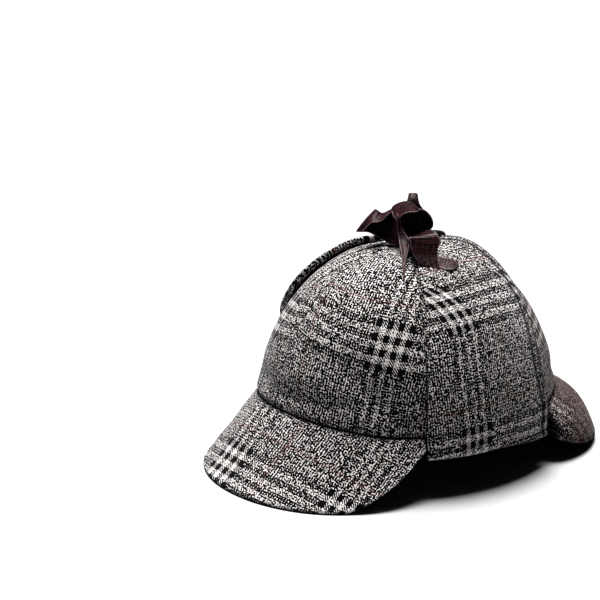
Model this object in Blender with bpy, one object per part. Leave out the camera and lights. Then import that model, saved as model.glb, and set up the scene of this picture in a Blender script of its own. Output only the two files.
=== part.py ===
"""Deerstalker hat: six crown gores, two brims, two tied-up ear flaps and the ribbon bow that ties them.

The hat stands by itself on the flattened outer edges of its two brims.  +Z is up, its front faces -Y
and +X is the wearer's left.  The origin lies on the standing plane, under the middle of the hat.
Lengths are in metres.  A turn is an angle seen from above, 0 at the front and growing towards the
wearer's left; a lift is an angle up the dome, 0 at its widest level and 90 degrees at the top.
"""

from collections import namedtuple
from math import acos, asin, copysign, cos, exp, hypot, pi, radians, sin

import bmesh
import bpy
from mathutils import Vector

# The crown's dome
CROWN_HALF_WIDTH = 0.085        # outside, at the widest level
CROWN_HALF_LENGTH = 0.102
WIDEST_HEIGHT = 0.0354
CROWN_RISE = 0.1035             # from the widest level to the top
SIDE_POWER = 0.894              # under 1 holds the dome out towards its shoulders
RISE_POWER = 1.134
CROWN_LEAN = -0.002             # the top leans this far to the front
TOP_PRESS = 0.0012              # the knot presses the top in
TOP_PRESS_LIFT = radians(14)
TOP_HOLE_LIFT = radians(89.1)   # the gores end here, round a pinhole under the knot
CROWN_CLOTH = 0.0024
GAP = 0.0004                    # between pieces that are sewn together

# The brims
FRONT_REACH = 0.0393            # how far the brim stands out of the crown, seen from above
REAR_REACH = 0.0300
FRONT_SEAM_ARCH = 0.0112        # the seams rise this much at the middle
REAR_SEAM_ARCH = 0.0068
BRIM_ROOT = 0.0024              # level thickness at the seam
BRIM_FOOT = 0.0044              # level thickness of the edge that the hat stands on

# The ear flaps
FLAP_CLOTH = 0.0030             # two layers
FOLD_HEIGHT = 0.0240            # underside of the fold at the flap's front half
FOLD_DROP = 0.0050              # the fold hangs this much lower at its back end
FOLD_THICK = 0.0025
FLAP_TOP_LIFT = 80.0

# The ribbon
RIBBON_THICK = 0.0010
BOW_TURN = radians(54.8)        # the bow is tied askew: its own front is turned this far from the hat's
KNOT_HALF = (0.0078, 0.0070, 0.0056)
KNOT_ABOVE = 0.0072             # the knot's middle above the dome

CROWN_CENTRE_Y = (FRONT_REACH - REAR_REACH) / 2

# A brim's outline: its share of the reach runs from end_share at its two ends to 1 in the middle, and its
# edge drops from end_height at the ends to the standing plane, which it meets where it is lands_at full.
# The left half is a little fuller than the right.  A slope's sag is under 0 where it bulges.
Brim = namedtuple("Brim", "facing_deg half_turn_deg reach end_share end_height lands_at"
                          " left_spread right_spread shoulder seam_arch sag")
FRONT_BRIM = Brim(facing_deg=0, half_turn_deg=66.6, reach=FRONT_REACH, end_share=0.10,
                  end_height=0.0310, lands_at=0.78, left_spread=3.5, right_spread=2.4, shoulder=1.20,
                  seam_arch=FRONT_SEAM_ARCH, sag=0.0016)
REAR_BRIM = Brim(facing_deg=180, half_turn_deg=53.8, reach=REAR_REACH, end_share=0.15,
                 end_height=0.0125, lands_at=0.93, left_spread=2.5, right_spread=2.4, shoulder=0.62,
                 seam_arch=REAR_SEAM_ARCH, sag=-0.0056)
SAG_POWER = 1.7                 # over 1 puts the sag's deepest place below the middle of the slope


Gore = namedtuple("Gore", "name start_deg end_deg columns")
GORES = (
    Gore("crown_front_left", 0, 68, 10),
    Gore("crown_side_left", 68, 126, 8),
    Gore("crown_back_left", 126, 180, 8),
    Gore("crown_back_right", 180, 234, 8),
    Gore("crown_side_right", 234, 292, 8),
    Gore("crown_front_right", 292, 360, 10),
)
GORE_ROWS = 12

# Soft hollows in the crown's cloth: where, how wide each way, and how deep
Dent = namedtuple("Dent", "turn_deg height half_turn_deg half_height depth")
DENTS = (
    Dent(12, 0.057, 17, 0.0050, 0.0020),
    Dent(34, 0.058, 11, 0.0050, 0.0012),
    Dent(20, 0.083, 14, 0.0070, 0.0010),
    Dent(38, 0.079, 8, 0.0090, 0.0014),
    Dent(50, 0.063, 9, 0.0120, 0.0024),
    Dent(63, 0.046, 7, 0.0120, 0.0028),
    Dent(-20, 0.060, 13, 0.0060, 0.0012),
    Dent(-48, 0.062, 9, 0.0120, 0.0022),
    Dent(-62, 0.047, 7, 0.0110, 0.0026),
    Dent(150, 0.052, 14, 0.0070, 0.0014),
    Dent(-156, 0.056, 15, 0.0080, 0.0016),
)

# Edges of a flap up the dome, and how far its inner face stands off the crown
FlapRow = namedtuple("FlapRow", "lift_deg front_deg rear_deg front_off rear_off")
LEFT_FLAP = (
    FlapRow(0, 67.2, 123.8, 0.0008, 0.0008),
    FlapRow(20, 67.8, 124.0, 0.0013, 0.0018),
    FlapRow(35, 68.5, 129.0, 0.0015, 0.0024),
    FlapRow(50, 70.0, 138.5, 0.0015, 0.0032),
    FlapRow(62, 69.0, 150.0, 0.0013, 0.0040),
    FlapRow(72, 71.0, 160.0, 0.0011, 0.0046),
    FlapRow(80, 78.0, 160.0, 0.0009, 0.0026),
)
RIGHT_FLAP = (
    FlapRow(0, 67.2, 123.8, 0.0008, 0.0008),
    FlapRow(20, 62.0, 124.0, 0.0026, 0.0018),
    FlapRow(35, 51.0, 129.0, 0.0046, 0.0024),
    FlapRow(50, 46.0, 138.5, 0.0050, 0.0032),
    FlapRow(62, 51.0, 150.0, 0.0042, 0.0040),
    FlapRow(72, 62.0, 160.0, 0.0030, 0.0034),
    FlapRow(80, 78.0, 160.0, 0.0009, 0.0014),
)
FLAP_ROWS = 13
FLAP_COLUMNS = 12

# Stations down a ribbon's middle, from the knot outwards, in the bow's own directions: across, toward
# its front, and above the dome; then the ribbon's width there and the way the width points.
Station = namedtuple("Station", "across toward above width w_across w_toward w_up")
BOW_LOOP = (
    Station(-0.0088, -0.0020, 0.0075, 0.0110, 0.0, 1.0, 0.0),
    Station(-0.0125, -0.0015, 0.0115, 0.0140, 0.0, 1.0, 0.0),
    Station(-0.0100, -0.0005, 0.0185, 0.0165, 0.0, 1.0, 0.1),
    Station(-0.0010, 0.0005, 0.0215, 0.0175, 0.0, 1.0, 0.1),
    Station(0.0075, 0.0008, 0.0205, 0.0165, 0.0, 1.0, 0.05),
    Station(0.0132, 0.0015, 0.0160, 0.0140, 0.0, 1.0, 0.0),
    Station(0.0146, 0.0008, 0.0105, 0.0125, 0.0, 1.0, 0.0),
    Station(0.0090, -0.0010, 0.0075, 0.0110, 0.0, 1.0, 0.0),
)
END_UP = (
    Station(0.0020, -0.0078, 0.0085, 0.0100, 0.7, -0.7, 0.0),
    Station(0.0022, -0.0150, 0.0130, 0.0120, 0.5, -0.8, 0.0),
    Station(0.0022, -0.0185, 0.0210, 0.0150, 0.38, -0.90, -0.25),
    Station(0.0026, -0.0190, 0.0275, 0.0160, 0.35, -0.90, -0.29),
)
END_LEFT = (
    Station(-0.0080, 0.0066, 0.0074, 0.0100, 0.0, 0.20, 0.95),
    Station(-0.0150, 0.0098, 0.0100, 0.0160, 0.0, 0.30, 0.92),
    Station(-0.0222, 0.0075, 0.0128, 0.0190, 0.28, 0.12, 0.90),
    Station(-0.0272, -0.0010, 0.0172, 0.0195, 0.71, 0.0, 0.69),
)
END_NARROW = (
    Station(-0.0026, 0.0108, 0.0120, 0.0060, 0.8, 0.6, 0.0),
    Station(-0.0058, 0.0160, 0.0156, 0.0070, 0.3, 1.0, 0.0),
    Station(-0.0056, 0.0186, 0.0116, 0.0080, 0.5, 0.8, 0.0),
    Station(-0.0045, 0.0220, 0.0076, 0.0085, 1.0, 0.3, 0.0),
    Station(-0.0026, 0.0310, 0.0062, 0.0080, 1.0, 0.0, 0.0),
    Station(-0.0026, 0.0410, 0.0060, 0.0050, 1.0, 0.0, -0.2),
    Station(-0.0026, 0.0500, 0.0052, 0.0028, 1.0, 0.0, -0.3),
)
END_BROAD = (
    Station(0.0048, 0.0088, 0.0108, 0.0110, 1.0, 0.0, 0.0),
    Station(0.0098, 0.0200, 0.0122, 0.0185, 1.0, 0.0, -0.10),
    Station(0.0108, 0.0280, 0.0116, 0.0195, 1.0, 0.06, -0.15),
    Station(0.0116, 0.0345, 0.0088, 0.0200, 0.95, 0.16, -0.28),
    Station(0.0124, 0.0388, 0.0066, 0.0210, 0.87, 0.28, -0.40),
)
END_LYING = (
    Station(0.0112, 0.0105, 0.0066, 0.0070, 0.6, -0.7, 0.0),
    Station(0.0152, 0.0190, 0.0074, 0.0080, 0.7, -0.7, 0.0),
    Station(0.0200, 0.0272, 0.0070, 0.0090, 0.7, -0.7, 0.0),
    Station(0.0272, 0.0344, 0.0066, 0.0125, 0.7, -0.7, 0.0),
)
TIE_LEFT = (
    Station(0.0060, 0.0066, 0.0040, 0.0080, 0.7, -0.7, 0.0),
    Station(0.0074, 0.0112, 0.0045, 0.0100, 0.7, -0.7, 0.0),
    Station(0.0084, 0.0165, 0.0052, 0.0110, 0.7, -0.7, 0.0),
)
TIE_RIGHT = (
    Station(-0.0060, -0.0066, 0.0040, 0.0080, 0.7, -0.7, 0.0),
    Station(-0.0078, -0.0112, 0.0045, 0.0100, 0.7, -0.7, 0.0),
    Station(-0.0092, -0.0165, 0.0054, 0.0110, 0.7, -0.7, 0.0),
)

Finish = namedtuple("Finish", "name colour roughness")
PLAID = Finish("plaid_wool", (0.17, 0.155, 0.155, 1.0), 0.9)
RIBBON = Finish("brown_ribbon", (0.055, 0.024, 0.026, 1.0), 0.6)


def clear_scene():
    for thing in list(bpy.data.objects):
        bpy.data.objects.remove(thing, do_unlink=True)


def material(finish):
    found = bpy.data.materials.get(finish.name)
    if found:
        return found
    made = bpy.data.materials.new(finish.name)
    made.use_nodes = True
    shader = made.node_tree.nodes["Principled BSDF"]
    shader.inputs["Base Color"].default_value = finish.colour
    shader.inputs["Roughness"].default_value = finish.roughness
    shader.inputs["Metallic"].default_value = 0.0
    return made


def finish_object(name, work, finish):
    """Turn the bmesh's faces outwards and link it as a smooth object."""
    if work.calc_volume(signed=True) < 0:
        bmesh.ops.reverse_faces(work, faces=work.faces[:])
    mesh = bpy.data.meshes.new(name)
    work.to_mesh(mesh)
    work.free()
    mesh.materials.append(material(finish))
    mesh.shade_smooth()
    mesh.set_sharp_from_angle(angle=radians(40))
    made = bpy.data.objects.new(name, mesh)
    bpy.context.scene.collection.objects.link(made)
    return made


def thick_sheet(name, outer, inner, finish):
    """Close two grids of points, the outer and the inner face of one piece of cloth, into a solid."""
    work = bmesh.new()
    rows, columns = len(outer), len(outer[0])
    top = [[work.verts.new(point) for point in row] for row in outer]
    low = [[work.verts.new(point) for point in row] for row in inner]
    for i in range(rows - 1):
        for j in range(columns - 1):
            work.faces.new((top[i][j], top[i][j + 1], top[i + 1][j + 1], top[i + 1][j]))
            work.faces.new((low[i][j], low[i + 1][j], low[i + 1][j + 1], low[i][j + 1]))
        for j in (0, columns - 1):
            side = (top[i][j], top[i + 1][j], low[i + 1][j], low[i][j])
            work.faces.new(side if j == 0 else side[::-1])
    for j in range(columns - 1):
        for i in (0, rows - 1):
            side = (top[i][j], low[i][j], low[i][j + 1], top[i][j + 1])
            work.faces.new(side if i == 0 else side[::-1])
    return finish_object(name, work, finish)


def through_rows(rows, column, along, at):
    """Value of one column of a table at a place along it, on a smooth curve through the rows."""
    place = [getattr(row, along) if along else float(i) for i, row in enumerate(rows)]
    value = [getattr(row, column) for row in rows]
    last = len(rows) - 1
    i = max(k for k in range(last) if place[k] <= at or k == 0)

    def slope(k):
        a, b = max(k - 1, 0), min(k + 1, last)
        return (value[b] - value[a]) / (place[b] - place[a])

    span = place[i + 1] - place[i]
    t = (at - place[i]) / span
    return ((1 + 2 * t) * (1 - t) ** 2 * value[i] + t * (1 - t) ** 2 * span * slope(i)
            + t * t * (3 - 2 * t) * value[i + 1] - t * t * (1 - t) * span * slope(i + 1))


def bump(distance, half_width):
    return exp(-(distance / half_width) ** 2)


def dent_depth(turn, lift, height):
    depth = TOP_PRESS * bump(pi / 2 - lift, TOP_PRESS_LIFT)
    for dent in DENTS:
        away = (turn - radians(dent.turn_deg) + pi) % (2 * pi) - pi
        depth += (dent.depth * bump(away, radians(dent.half_turn_deg))
                  * bump(height - dent.height, dent.half_height))
    return depth


def crown_point(turn, lift, out=0.0, dented=False):
    """Point on the dome, out metres outside the crown's outer face."""
    rise = copysign(abs(sin(lift)) ** RISE_POWER, lift)
    reach = cos(lift) ** SIDE_POWER if lift > 0 else 1.0
    if dented:
        out -= dent_depth(turn, lift, WIDEST_HEIGHT + CROWN_RISE * rise)
    x = (CROWN_HALF_WIDTH + out) * reach * sin(turn)
    y = CROWN_CENTRE_Y - (CROWN_HALF_LENGTH + out) * reach * cos(turn) + CROWN_LEAN * rise
    z = WIDEST_HEIGHT + (CROWN_RISE + max(lift, 0) / (pi / 2) * out) * rise
    return Vector((x, y, z))


def lift_at(height):
    """The lift at which the dome has this height; below the widest level the wall runs straight on."""
    share = (height - WIDEST_HEIGHT) / CROWN_RISE
    return copysign(asin(min(abs(share), 1.0) ** (1 / RISE_POWER)), share)


def dome_height(x, y):
    """Height of the dome over a point of the plan."""
    reach = min(hypot(x / CROWN_HALF_WIDTH, (y - CROWN_CENTRE_Y) / CROWN_HALF_LENGTH), 1.0)
    return WIDEST_HEIGHT + CROWN_RISE * sin(acos(reach ** (1 / SIDE_POWER))) ** RISE_POWER


def seam_height(brim, turn):
    """Height of the seam between crown and brim."""
    away = turn - radians(brim.facing_deg)
    return WIDEST_HEIGHT + brim.seam_arch * max(cos(away), 0.0) ** 2


def fold_height(turn):
    """Underside of a flap's fold, which droops towards its back end."""
    back = min(max((abs(turn) - radians(95)) / radians(28), 0.0), 1.0)
    return FOLD_HEIGHT - FOLD_DROP * back * back * (3 - 2 * back)


def gore_low_height(gore, turn):
    """Height of a gore's lower edge: over a brim's seam, or over a flap's fold."""
    if "front" in gore.name:
        return seam_height(FRONT_BRIM, turn)
    if "back" in gore.name:
        return seam_height(REAR_BRIM, turn)
    from_front = min(turn, 2 * pi - turn)
    return fold_height(from_front) + FOLD_THICK + 2 * GAP


def crown_gore(gore):
    outer, inner = [], []
    for row in range(GORE_ROWS + 1):
        rise = row / GORE_ROWS
        faces = ([], [])
        for column in range(gore.columns + 1):
            share = column / gore.columns
            nominal = radians(gore.start_deg + (gore.end_deg - gore.start_deg) * share)
            low = lift_at(gore_low_height(gore, nominal))
            lift = low + (TOP_HOLE_LIFT - low) * rise
            for face, out in zip(faces, (0.0, -CROWN_CLOTH)):
                edge = crown_point(nominal, lift, out, dented=True)
                radius = hypot(edge.x, edge.y - CROWN_CENTRE_Y - CROWN_LEAN * sin(max(lift, 0)))
                turn = nominal + (1 - 2 * share) * GAP / 2 / radius
                face.append(crown_point(turn, lift, out, dented=True))
        outer.append(faces[0])
        inner.append(faces[1])
    return thick_sheet(gore.name, outer, inner, PLAID)


def brim(name, shape, columns, rows):
    """A brim from its seam under the crown's edge down to the edge that the hat stands on."""
    outer, inner = [], []
    for row in range(rows + 1):
        down = row / rows
        faces = ([], [])
        for column in range(columns + 1):
            side = 2 * column / columns - 1
            turn = radians(shape.facing_deg + side * shape.half_turn_deg)
            spread = shape.left_spread if sin(turn) > 0 else shape.right_spread
            full = max(1 - abs(side) ** spread, 0.0) ** shape.shoulder
            share = shape.end_share + (1 - shape.end_share) * full
            seam = seam_height(shape, turn) - GAP
            edge = shape.end_height * max(1 - full / shape.lands_at, 0.0)
            away = Vector((sin(turn) / CROWN_HALF_WIDTH, -cos(turn) / CROWN_HALF_LENGTH, 0)).normalized()
            root = crown_point(turn, 0)
            height = seam + (edge - seam) * down - shape.sag * share * sin(pi * down ** SAG_POWER)
            thick = BRIM_ROOT + (BRIM_FOOT - BRIM_ROOT) * down
            for face, inset in zip(faces, (0.0, thick)):
                point = root + away * (shape.reach * share * down - inset)
                face.append(Vector((point.x, point.y, height)))
        outer.append(faces[0])
        inner.append(faces[1])
    return thick_sheet(name, outer, inner, PLAID)


def ear_flap(name, table, side):
    """A flap from its fold under the crown's edge up to its tip; side is 1 for the wearer's left."""
    outer, inner = [], []

    def at(lift_deg, column):
        front, rear, front_off, rear_off = (through_rows(table, key, "lift_deg", max(lift_deg, 0.0))
                                            for key in FlapRow._fields[1:])
        share = column / FLAP_COLUMNS
        return radians(front + (rear - front) * share), front_off + (rear_off - front_off) * share

    def point(turn, lift, out):
        return crown_point(side * turn, lift, out)

    for level in (0, 1):
        faces = ([], [])
        for column in range(FLAP_COLUMNS + 1):
            turn, stand_off = at(0.0, column)
            under, over = fold_height(turn), fold_height(turn) + FOLD_THICK
            outs = (-CROWN_CLOTH, -CROWN_CLOTH) if level == 0 else (stand_off + FLAP_CLOTH, stand_off)
            faces[0].append(point(turn, lift_at(under), outs[0]))
            faces[1].append(point(turn, lift_at(over), outs[1]))
        outer.append(faces[0])
        inner.append(faces[1])
    for row in range(1, FLAP_ROWS + 1):
        faces = ([], [])
        for column in range(FLAP_COLUMNS + 1):
            turn, _ = at(0.0, column)
            starts = (lift_at(fold_height(turn)), lift_at(fold_height(turn) + FOLD_THICK))
            for face, start, cloth in zip(faces, starts, (FLAP_CLOTH, 0.0)):
                lift = start + (radians(FLAP_TOP_LIFT) - start) * row / FLAP_ROWS
                turn, stand_off = at(lift * 180 / pi, column)
                face.append(point(turn, lift, stand_off + cloth))
        outer.append(faces[0])
        inner.append(faces[1])
    return thick_sheet(name, outer, inner, PLAID)


def bow_place(across, toward, above):
    """World point from the bow's own directions, above the dome's nominal face."""
    x = across * cos(BOW_TURN) + toward * sin(BOW_TURN)
    y = CROWN_CENTRE_Y + across * sin(BOW_TURN) - toward * cos(BOW_TURN)
    return Vector((x, y, dome_height(x, y) + above))


def bow_direction(across, toward, up):
    return Vector((across * cos(BOW_TURN) + toward * sin(BOW_TURN),
                   across * sin(BOW_TURN) - toward * cos(BOW_TURN), up))


def ribbon(name, stations, rows, columns=2, crown=0.0004):
    """A strip through its stations, slightly rounded across its width."""
    last = len(stations) - 1

    def middle(at):
        return bow_place(*(through_rows(stations, key, None, at) for key in ("across", "toward", "above")))

    outer, inner = [], []
    step = 0.02
    for row in range(rows + 1):
        at = last * row / rows
        ahead = (middle(min(at + step, last)) - middle(max(at - step, 0.0))).normalized()
        wide = bow_direction(*(through_rows(stations, key, None, at)
                               for key in ("w_across", "w_toward", "w_up")))
        wide = (wide - ahead * wide.dot(ahead)).normalized()
        face = wide.cross(ahead)
        width = through_rows(stations, "width", None, at)
        lines = ([], [])
        for column in range(columns + 1):
            side = column / columns - 0.5
            point = middle(at) + wide * width * side + face * crown * (1 - (2 * side) ** 2)
            lines[0].append(point + face * RIBBON_THICK / 2)
            lines[1].append(point - face * RIBBON_THICK / 2)
        outer.append(lines[0])
        inner.append(lines[1])
    return thick_sheet(name, outer, inner, RIBBON)


def bow_knot():
    work = bmesh.new()
    bmesh.ops.create_uvsphere(work, u_segments=14, v_segments=8, radius=1.0)
    middle = bow_place(0.0, 0.0, KNOT_ABOVE)
    for vert in work.verts:
        across, toward, up = (copysign(abs(v) ** 0.85, v) * half for v, half in zip(vert.co, KNOT_HALF))
        vert.co = middle + bow_direction(across, toward, up)
    return finish_object("bow_knot", work, RIBBON)


def build():
    clear_scene()
    for gore in GORES:
        crown_gore(gore)
    brim("front_brim", FRONT_BRIM, columns=36, rows=6)
    brim("rear_brim", REAR_BRIM, columns=30, rows=6)
    ear_flap("ear_flap_left", LEFT_FLAP, 1)
    ear_flap("ear_flap_right", RIGHT_FLAP, -1)
    bow_knot()
    ribbon("bow_loop", BOW_LOOP, rows=26)
    ribbon("ribbon_end_up", END_UP, rows=10)
    ribbon("ribbon_end_left", END_LEFT, rows=12)
    ribbon("ribbon_end_narrow", END_NARROW, rows=20)
    ribbon("ribbon_end_broad", END_BROAD, rows=12)
    ribbon("ribbon_end_lying", END_LYING, rows=8)
    ribbon("flap_tie_left", TIE_LEFT, rows=4)
    ribbon("flap_tie_right", TIE_RIGHT, rows=4)


build()
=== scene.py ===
"""Looks of the deerstalker hat: its glen-check cloth, folded ear flaps, brims and ribbon bow in a studio.

Every piece of cloth is shaped again here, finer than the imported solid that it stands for, from the same
named sizes.  +Z is up, the hat's front faces -Y and +X is the wearer's left; lengths are in metres.
A turn is an angle seen from above, 0 at the front and growing towards the wearer's left; a lift is an
angle up the dome, 0 at its widest level and a quarter turn at the top.
"""

import logging
from dataclasses import dataclass
from enum import Enum
from math import cos, pi, radians, sin

import bpy
import numpy as np
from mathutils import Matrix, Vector


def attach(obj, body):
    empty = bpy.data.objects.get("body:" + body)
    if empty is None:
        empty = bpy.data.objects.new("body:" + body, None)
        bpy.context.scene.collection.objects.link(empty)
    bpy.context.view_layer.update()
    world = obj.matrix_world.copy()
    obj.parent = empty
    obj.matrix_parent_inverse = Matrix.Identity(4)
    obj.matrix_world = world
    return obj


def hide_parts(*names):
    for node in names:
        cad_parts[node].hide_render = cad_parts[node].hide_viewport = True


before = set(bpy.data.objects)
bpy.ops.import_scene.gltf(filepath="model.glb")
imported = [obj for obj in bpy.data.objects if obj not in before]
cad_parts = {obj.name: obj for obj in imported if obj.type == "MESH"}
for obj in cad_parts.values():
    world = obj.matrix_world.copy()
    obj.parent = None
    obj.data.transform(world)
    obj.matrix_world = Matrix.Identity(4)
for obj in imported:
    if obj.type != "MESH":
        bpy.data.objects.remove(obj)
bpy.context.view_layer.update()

LOG = logging.getLogger("deerstalker")
MM = 0.001
CLOTH_MAP = "cloth"             # the map that holds each point's place on the flat cloth, in metres
WOOL_SPACING = 1.3 * MM         # between the points of a sheet
RIBBON_SPACING = 0.7 * MM


class Slot(Enum):
    """Material slots of the hat's record."""

    PLAID = "plaid_wool"
    RIBBON = "brown_ribbon"


class Held(Enum):
    """How a piece of cloth is held in its shape."""

    STRETCHED = "stretched"
    FOLDED = "folded"
    DRAPED = "draped"


class Side(Enum):
    """The wearer's side that a piece is on; the value is the sign of its X."""

    LEFT = 1
    RIGHT = -1


# ---------------------------------------------------------------------------------------- finishes


class Signal:
    """A node's output, which is reckoned with as a number is."""

    def __init__(self, pen: "NodePen", socket: bpy.types.NodeSocket) -> None:
        """Keep the pen that wrote the node, and its output."""
        self.pen, self.socket = pen, socket

    def __add__(self, other: "Signal | float") -> "Signal":
        """Return the sum."""
        return self.pen.math("ADD", self, other)

    def __sub__(self, other: "Signal | float") -> "Signal":
        """Return the difference."""
        return self.pen.math("SUBTRACT", self, other)

    def __rsub__(self, other: float) -> "Signal":
        """Return a number's difference from it."""
        return self.pen.math("SUBTRACT", other, self)

    def __mul__(self, other: "Signal | float") -> "Signal":
        """Return the product."""
        return self.pen.math("MULTIPLY", self, other)

    def __truediv__(self, other: "Signal | float") -> "Signal":
        """Return the quotient."""
        return self.pen.math("DIVIDE", self, other)

    def __mod__(self, other: float) -> "Signal":
        """Return the remainder, which is never under 0."""
        return self.pen.math("FLOORED_MODULO", self, other)

    def __pow__(self, other: float) -> "Signal":
        """Return the power."""
        return self.pen.math("POWER", self, other)

    def __lt__(self, other: float) -> "Signal":
        """Return 1 where it is less, else 0."""
        return self.pen.math("LESS_THAN", self, other)

    __radd__, __rmul__ = __add__, __mul__


class NodePen:
    """Writes the nodes of one procedural material."""

    def __init__(self, name: str) -> None:
        """Start a material with a Principled shader.

        Args:
            name: the material's name.
        """
        self.material = bpy.data.materials.new(name)
        self.material.use_nodes = True
        self.tree = self.material.node_tree
        self.shader = self.tree.nodes["Principled BSDF"]

    def node(self, kind: str, **settings: str) -> bpy.types.Node:
        """Add a node.

        Args:
            kind: the node's type name.
            settings: its properties and their values.

        Returns:
            The new node.
        """
        made = self.tree.nodes.new(kind)
        for key, value in settings.items():
            setattr(made, key, value)
        return made

    def feed(self, socket: bpy.types.NodeSocket, value: Signal | float | tuple) -> None:
        """Give an input a number, a colour or another node's output.

        Args:
            socket: the input.
            value: what goes in.
        """
        if isinstance(value, Signal):
            self.tree.links.new(value.socket, socket)
        else:
            socket.default_value = value

    def math(self, operation: str, *values: Signal | float) -> Signal:
        """Add a Math node.

        Args:
            operation: such as ADD or FLOOR.
            values: what goes into its inputs.

        Returns:
            Its output.
        """
        made = self.node("ShaderNodeMath", operation=operation)
        for socket, value in zip(made.inputs, values):
            self.feed(socket, value)
        return Signal(self, made.outputs[0])

    def wave(self, half_turns: Signal, rate: float = 1.0) -> Signal:
        """Return the sine of so many half turns, or of a rate times as many."""
        return self.math("SINE", half_turns * (rate * pi))

    def clamp(self, value: Signal) -> Signal:
        """Keep a value between 0 and 1."""
        return self.math("MINIMUM", self.math("MAXIMUM", value, 0.0), 1.0)

    def blend(self, share: Signal | float, first: Signal | tuple, second: Signal | tuple) -> Signal:
        """Mix two colours.

        Args:
            share: how much of the second, from 0 to 1.
            first: a colour.
            second: a colour.

        Returns:
            The mixed colour.
        """
        made = self.node("ShaderNodeMix", data_type="RGBA")
        for name, value in (("Factor", share), ("A", first), ("B", second)):
            self.feed(made.inputs[name], value)
        return Signal(self, made.outputs["Result"])

    def tint(self, colour: Signal, factor: Signal | float) -> Signal:
        """Scale a colour's brightness.

        Args:
            colour: the colour.
            factor: how much it is scaled.

        Returns:
            The scaled colour.
        """
        made = self.node("ShaderNodeVectorMath", operation="SCALE")
        self.feed(made.inputs[0], colour)
        self.feed(made.inputs["Scale"], factor)
        return Signal(self, made.outputs[0])

    def product(self, colour: Signal, other: tuple) -> Signal:
        """Multiply a colour by a constant one.

        Args:
            colour: the colour.
            other: the constant colour, with its alpha.

        Returns:
            Their product.
        """
        made = self.node("ShaderNodeVectorMath", operation="MULTIPLY")
        self.feed(made.inputs[0], colour)
        self.feed(made.inputs[1], other[:3])
        return Signal(self, made.outputs[0])

    def noise(self, place: Signal, scale: float, detail: float = 2.0) -> Signal:
        """Add a Noise texture.

        Args:
            place: where it is read.
            scale: waves per metre.
            detail: octaves.

        Returns:
            Its value, near 0.5 on average.
        """
        made = self.node("ShaderNodeTexNoise")
        self.feed(made.inputs["Vector"], place)
        made.inputs["Scale"].default_value = scale
        made.inputs["Detail"].default_value = detail
        return Signal(self, made.outputs[0])

    def chance(self, number: Signal) -> Signal:
        """Draw a random value that always goes with the same number.

        Args:
            number: the number.

        Returns:
            The value, from 0 to 1.
        """
        made = self.node("ShaderNodeTexWhiteNoise", noise_dimensions="1D")
        self.feed(made.inputs["W"], number)
        return Signal(self, made.outputs[0])

    def attribute(self, name: str) -> Signal:
        """Return the value that the mesh holds under a name."""
        return Signal(self, self.node("ShaderNodeAttribute", attribute_name=name).outputs["Fac"])

    def object_place(self) -> Signal:
        """Return the Object coordinates."""
        return Signal(self, self.node("ShaderNodeTexCoord").outputs["Object"])

    def split(self, place: Signal) -> list[Signal]:
        """Take a vector apart.

        Args:
            place: the vector.

        Returns:
            Its three numbers.
        """
        made = self.node("ShaderNodeSeparateXYZ")
        self.feed(made.inputs[0], place)
        return [Signal(self, output) for output in made.outputs]

    def cloth_place(self) -> list[Signal]:
        """Return the place across and along the flat cloth, in metres."""
        return self.split(Signal(self, self.node("ShaderNodeUVMap", uv_map=CLOTH_MAP).outputs[0]))[:2]

    def bump(self, height: Signal, distance: float, strength: float) -> None:
        """Let a height field tilt the shader's normal.

        Args:
            height: the height, 0 to 1.
            distance: how far 1 stands up, in metres.
            strength: share of the effect.
        """
        made = self.node("ShaderNodeBump")
        self.feed(made.inputs["Height"], height)
        made.inputs["Distance"].default_value = distance
        made.inputs["Strength"].default_value = strength
        self.tree.links.new(made.outputs[0], self.shader.inputs["Normal"])


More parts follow.
